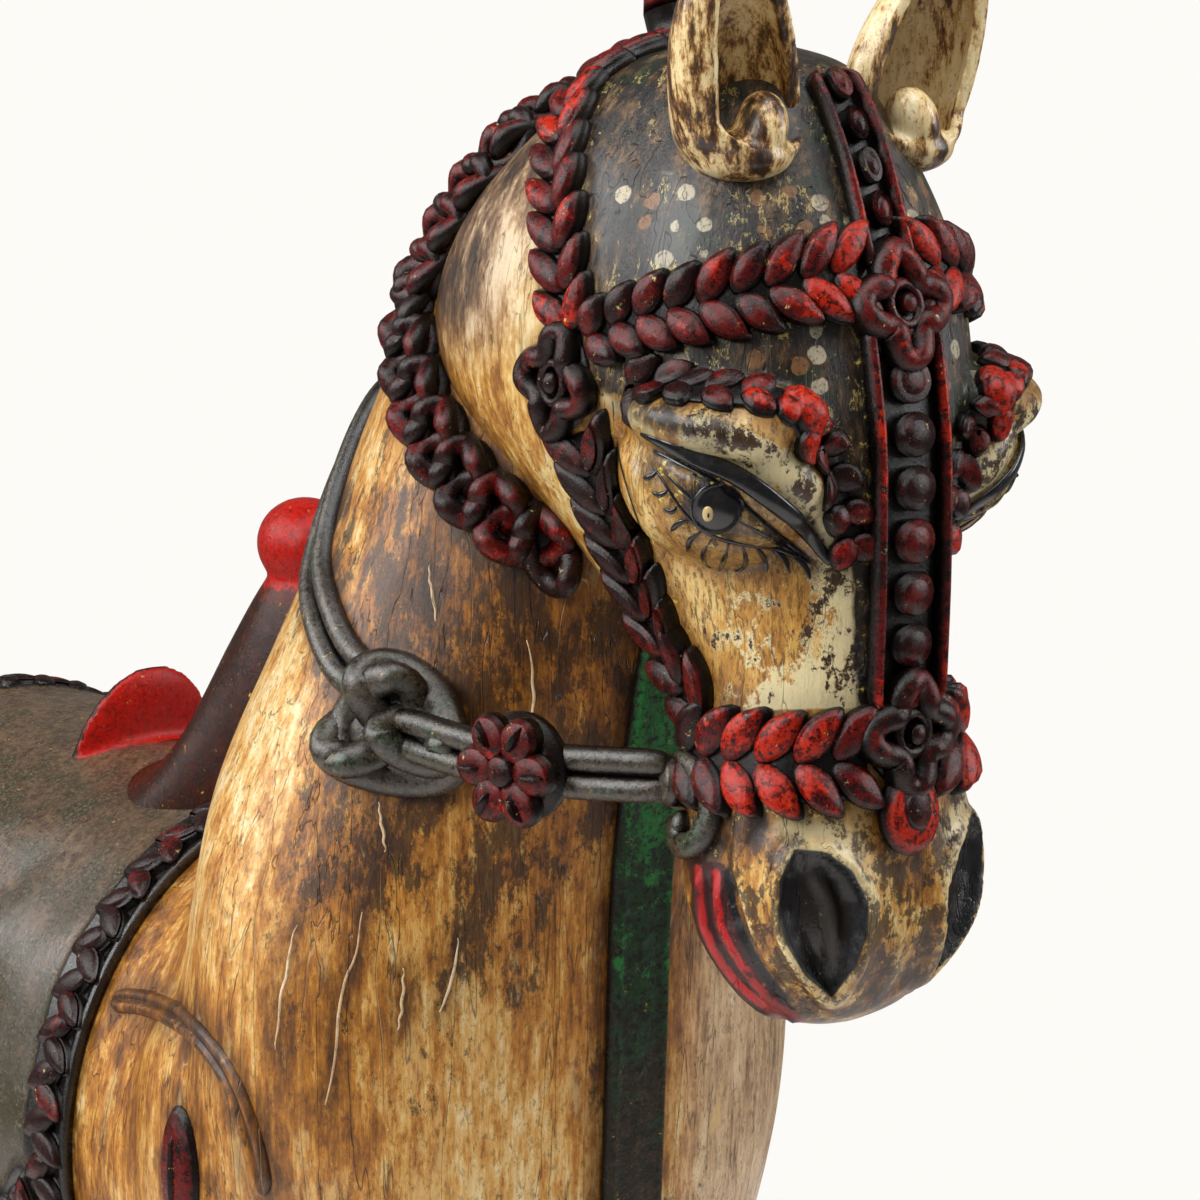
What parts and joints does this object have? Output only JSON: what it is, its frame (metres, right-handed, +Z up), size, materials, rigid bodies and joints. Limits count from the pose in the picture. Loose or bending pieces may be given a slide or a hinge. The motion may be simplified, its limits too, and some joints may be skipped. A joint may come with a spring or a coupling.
{
  "type": "painted wooden horse statue",
  "caption": "Carved and painted wooden horse with bridle, reins, saddle and saddle cloth, standing on a rectangular plinth.",
  "frame": {"origin": "centre of the plinth's underside", "axes": "+Z up, the horse faces -Y, its right side is -X"},
  "size_m": [0.33, 0.8535, 1.1653],
  "materials": {
    "painted_wood": "varnished satin paint over carved wood, worn and cracked",
    "plinth_paint": "satin dark paint, worn at the edges"
  },
  "bodies": {
    "root": {"horse": "painted_wood", "plinth": "plinth_paint"}
  },
  "joints": []
}
